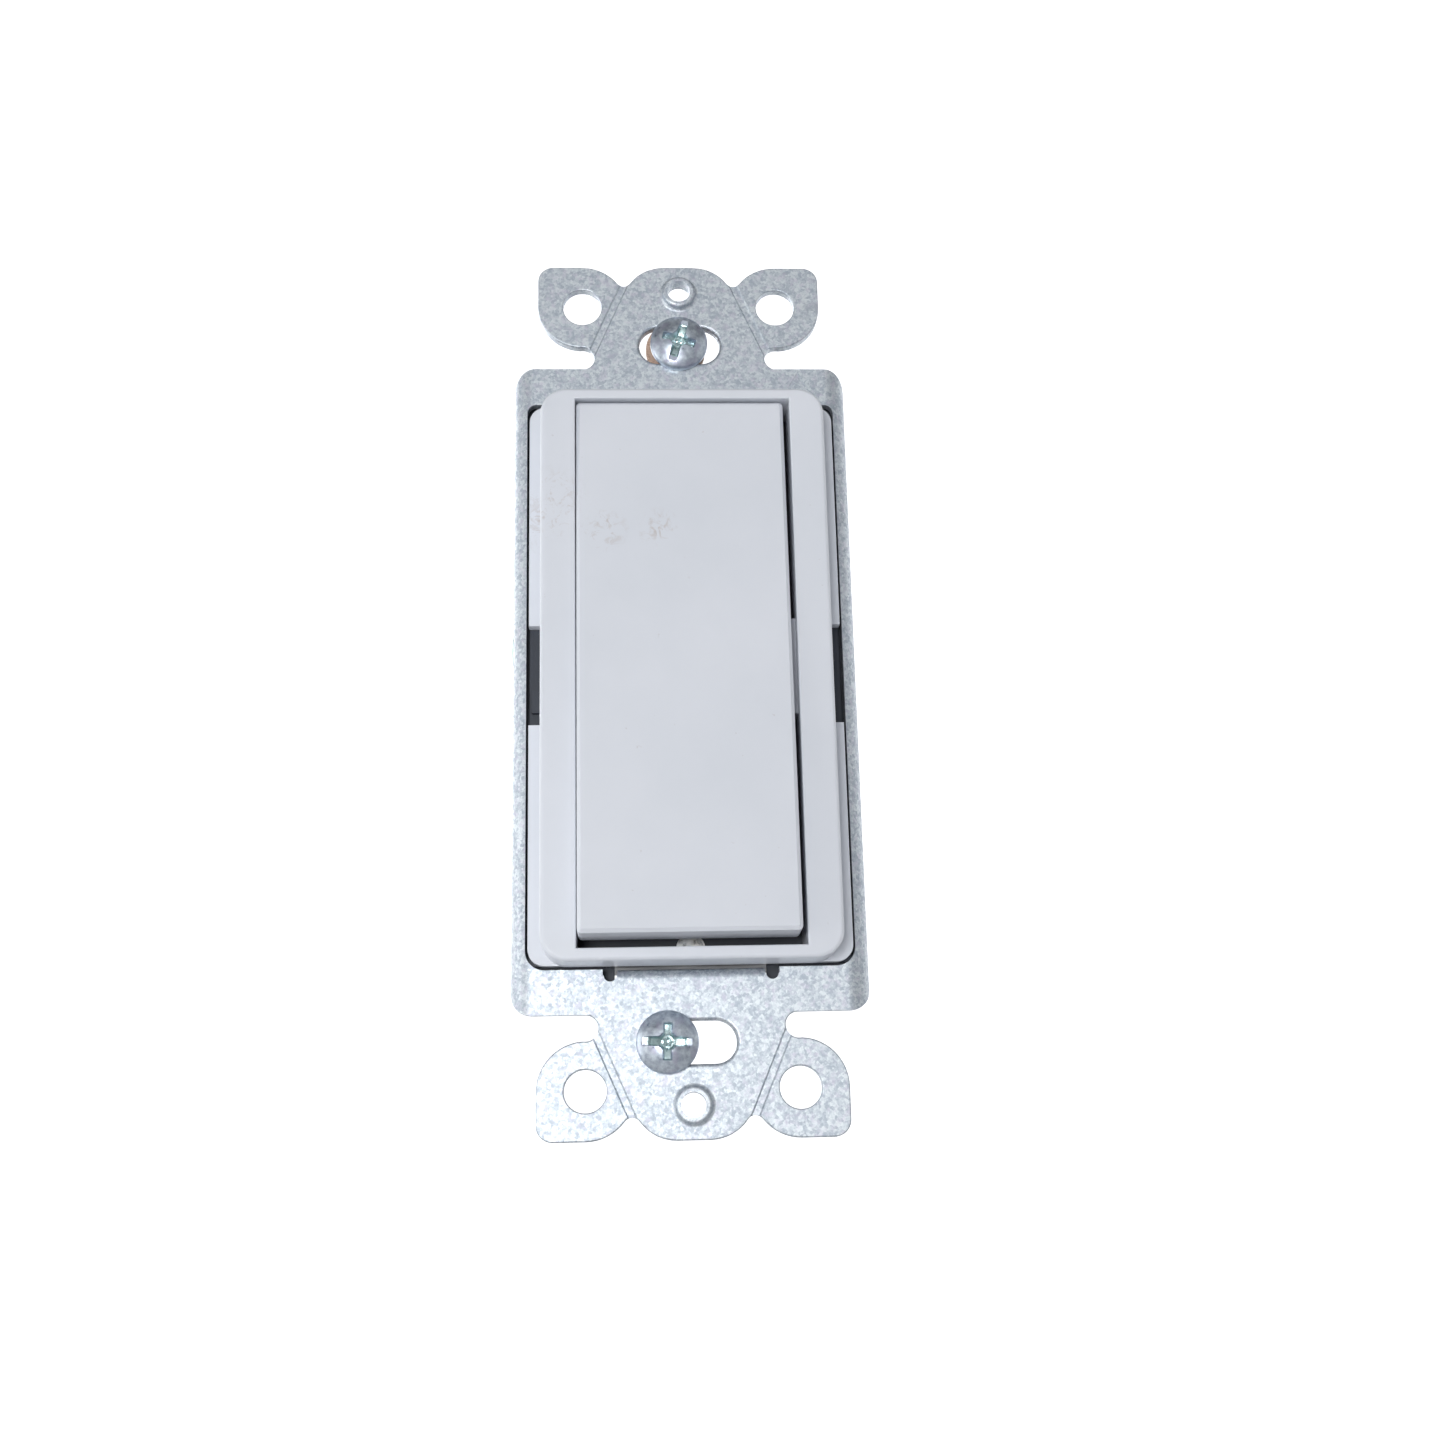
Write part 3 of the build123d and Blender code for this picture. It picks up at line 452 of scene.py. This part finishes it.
def facing(node, outwards, height):
    """Matrix that takes z to where a head looks, with z = height at the outer end of the node."""
    low, high = (Vector(corner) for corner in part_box(node))
    axis = Vector(outwards)
    middle = (low + high) / 2
    outer = max(low.dot(axis), high.dot(axis))
    origin = middle + axis * (outer - height * MM - middle.dot(axis))
    return Matrix.Translation(origin) @ axis.to_track_quat("Z", "Y").to_matrix().to_4x4()


def add_combination_screw(node, body, slot, outwards, head, shank, turn):
    """head is radius, rim and dome; shank is radius, length, neck length and neck radius."""
    radius, rim, dome = head
    form = bmesh.new()
    ring = add_cap(form, radius, combination_relief(radius, rim, dome), turn)
    add_skirt(form, ring, [(circle(radius), 0.0)])
    add_thread(form, *shank)
    recess = RECESS if slot == "screw_zinc" else MATERIALS[slot]
    stand_in(form, node, body, (MATERIALS[slot], recess), facing(node, outwards, rim + dome))


def add_ground_screw():
    """Hexagon washer-head screw in the strap's ground tab."""
    cap_r, rim, dome = 2.85, 2.13, 0.33
    flats, chamfer_r, washer_r, groove_r = 6.35, 3.2, 3.6, 3.45
    form = bmesh.new()
    ring = add_cap(form, cap_r, hexagon_relief(cap_r, rim, dome), 30)
    add_skirt(form, ring, [(hexagon(flats, chamfer_r), 2.03), (hexagon(flats, washer_r), 1.8),
                           (hexagon(flats, washer_r), 0.95), (circle(groove_r), 0.9),
                           (circle(washer_r), 0.8), (circle(washer_r), 0.0)])
    add_thread(form, 1.95, 6.17, 0.6, 1.6)
    green = MATERIALS["green_steel"]
    stand_in(form, "ground_screw", "earth_screw", (green, green),
             facing("ground_screw", (-1, 0, 0), rim + dome))


def add_screws():
    """Box and terminal screws, which all have a combination recess."""
    box = ((3.43, 0.7, 1.2), (1.75, 25.37, 2.6, 1.45))
    terminal = ((3.7, 0.9, 1.13), (2.0, 8.45, 1.2, 1.62))
    for node, body, slot, outwards, (head, shank), turn in (
            ("top_mounting_screw", "top_screw", "screw_zinc", (0, -1, 0), box, 72),
            ("bottom_mounting_screw", "bottom_screw", "screw_zinc", (0, -1, 0), box, -2),
            ("line_terminal_screw", "line_screw", "brass", (1, 0, 0), terminal, 20),
            ("load_terminal_screw", "load_screw", "bright_steel", (1, 0, 0), terminal, 65)):
        add_combination_screw(node, body, slot, outwards, head, shank, turn)


PADDLE_PIVOT = Vector((0, 2.5, 0)) * MM
PADDLE_TILT = math.radians(-2.95)    # at rest
SPRING_START = Vector((0, -0.5, 0)) * MM    # from the pivot


def add_spring():
    """Coil spring inside the actuator; its coils lie closer together towards both ends."""
    mean_r, wire_r, turns, length = 1.2, 0.19, 7.5, 6.0
    steps, sides = 24 * 8, 10
    form = bmesh.new()
    rings = []
    for i in range(steps + 1):
        t = i / steps
        angle = 2 * math.pi * turns * t
        middle = Vector((mean_r * math.cos(angle), mean_r * math.sin(angle), 0))
        if 0 < t < 1:
            middle.z = wire_r + (length - 2 * wire_r) * fade(t, -0.12, 1.12)
        else:
            middle.z = t * length
        outwards = Vector((math.cos(angle), math.sin(angle), 0))
        ring = []
        for k in range(sides):
            around = 2 * math.pi * k / sides
            offset = outwards * math.cos(around) + Vector((0, 0, math.sin(around)))
            ring.append(form.verts.new(middle + offset * wire_r))
        rings.append(ring)
    join_rings(form, rings)
    form.faces.new(rings[0])
    form.faces.new(list(reversed(rings[-1])))
    pivot = Matrix.Translation(PADDLE_PIVOT) @ Matrix.Rotation(PADDLE_TILT, 4, "X")
    along = Matrix.Translation(SPRING_START) @ Matrix.Rotation(math.radians(-90), 4, "X")
    stand_in(form, "actuator_spring", "paddle_assembly",
             (MATERIALS["spring_steel"],), pivot @ along, 60)


# --- camera, lights and floor -----------------------------------------------------------------
CAMERA_AT = Vector((-7.0045, -198.82, -58.466)) * MM
CAMERA_TURNS = (("Y", 0.01022), ("X", 0.26158), ("Z", -0.05156))
CAMERA_LENS = 44.66
SENSOR_WIDTH = 36.0


def add_camera():
    """Camera at the photographer's place, solved from the strap's holes and the face."""
    data = bpy.data.cameras.new("camera")
    data.lens = CAMERA_LENS
    data.sensor_width = SENSOR_WIDTH
    data.clip_start = 0.005
    data.clip_end = 20.0
    camera = bpy.data.objects.new("camera", data)
    bpy.context.scene.collection.objects.link(camera)
    turn = Matrix.Identity(3)
    for axis, angle in CAMERA_TURNS:
        turn = turn @ Matrix.Rotation(angle, 3, axis)
    turn = turn @ Matrix.Rotation(math.radians(90), 3, "X")
    camera.matrix_world = Matrix.Translation(CAMERA_AT) @ turn.to_4x4()
    bpy.context.scene.camera = camera


def add_area(name, at, size, power, aim=(0, 0, 0), colour=(1, 1, 1)):
    """Square soft light that faces a point."""
    data = bpy.data.lights.new(name, "AREA")
    data.size = size
    data.energy = power
    data.color = colour
    lamp = bpy.data.objects.new(name, data)
    lamp.location = at
    lamp.rotation_mode = "QUATERNION"
    lamp.rotation_quaternion = (Vector(aim) - Vector(at)).to_track_quat("-Z", "Y")
    bpy.context.scene.collection.objects.link(lamp)


def add_lights():
    """Key from the lower left, weak fill from above, and lights for the side and rear views."""
    add_area("key", (-0.115, -0.45, -0.055), 0.12, 0.96)
    add_area("fill", (0.06, -0.50, 0.38), 0.4, 0.26, colour=(0.97, 0.98, 1.0))
    add_area("left", (-0.34, -0.06, -0.04), 0.25, 0.30)
    add_area("back", (-0.35, 0.5, 0.25), 0.4, 0.8)
    add_area("overhead", (0.0, 0.6, 1.5), 2.0, 1.5, aim=(0, 0.6, 0))
    world = bpy.data.worlds.new("studio")
    world.use_nodes = True
    backdrop = world.node_tree.nodes["Background"]
    backdrop.inputs["Color"].default_value = (0.94, 0.95, 0.97, 1.0)
    backdrop.inputs["Strength"].default_value = 0.20
    bpy.context.scene.world = world


FLOOR_MIDDLE_Y = -0.6            # metres, as all of the floor's sizes
FLOOR_REACH = 2.2
FLOOR_Z = -0.16
FLOOR_HUB = 0.4                  # radius of the flat face in the middle
WALL_BEND = 0.8
WALL_TOP = 1.4
BEND_STEPS = 12
FLOOR_SIDES = 72


def floor_paint():
    """Pale paint that glows behind the part, for the photo's white ground, and less elsewhere."""
    s = Shader("floor_paint")
    cloud = s.noise(0.25, detail=3)
    s.set(Base_Color=s.mix(cloud, (0.42, 0.425, 0.43), (0.46, 0.46, 0.465)), Roughness=0.8)
    depth = s.along("Y")
    inner = s.near((0, FLOOR_MIDDLE_Y / MM, 0), 900, 2100, counts=(1.0, 1.0, 0.0))
    wall = s.math("MULTIPLY", s.math("SUBTRACT", 1.0, inner), s.ramp(depth, -2.8, 0.0, 0.12, 0.40))
    glow = s.math("MAXIMUM", s.ramp(depth, 0.0, 0.7), wall)
    s.set(Emission_Color=s.mix(glow, (0.10, 0.10, 0.103), (0.98, 0.99, 1.0)))
    s.principled.inputs["Emission Strength"].default_value = 1.02
    return s.material


def add_floor():
    """Plain round floor well below the part, curving up to a low wall all round."""
    profile = [(FLOOR_HUB, FLOOR_Z)]
    for step in range(BEND_STEPS + 1):
        turn = math.radians(90 * step / BEND_STEPS)
        profile.append((FLOOR_REACH - WALL_BEND + WALL_BEND * math.sin(turn),
                        FLOOR_Z + WALL_BEND - WALL_BEND * math.cos(turn)))
    profile.append((FLOOR_REACH, WALL_TOP))
    angles = [2 * math.pi * k / FLOOR_SIDES for k in range(FLOOR_SIDES)]
    form = bmesh.new()
    rows = []
    for r, z in profile:
        rows.append([form.verts.new((r * math.cos(a), FLOOR_MIDDLE_Y + r * math.sin(a), z))
                     for a in angles])
    join_rings(form, rows)
    form.faces.new(rows[0])
    for face in form.faces:
        face.smooth = True
    mesh = bpy.data.meshes.new("floor")
    form.to_mesh(mesh)
    form.free()
    mesh.materials.append(floor_paint())
    floor = bpy.data.objects.new("floor", mesh)
    bpy.context.scene.collection.objects.link(floor)


paint_cad()
add_screws()
add_ground_screw()
add_spring()
add_camera()
add_lights()
add_floor()
bpy.context.scene.view_settings.view_transform = "Standard"
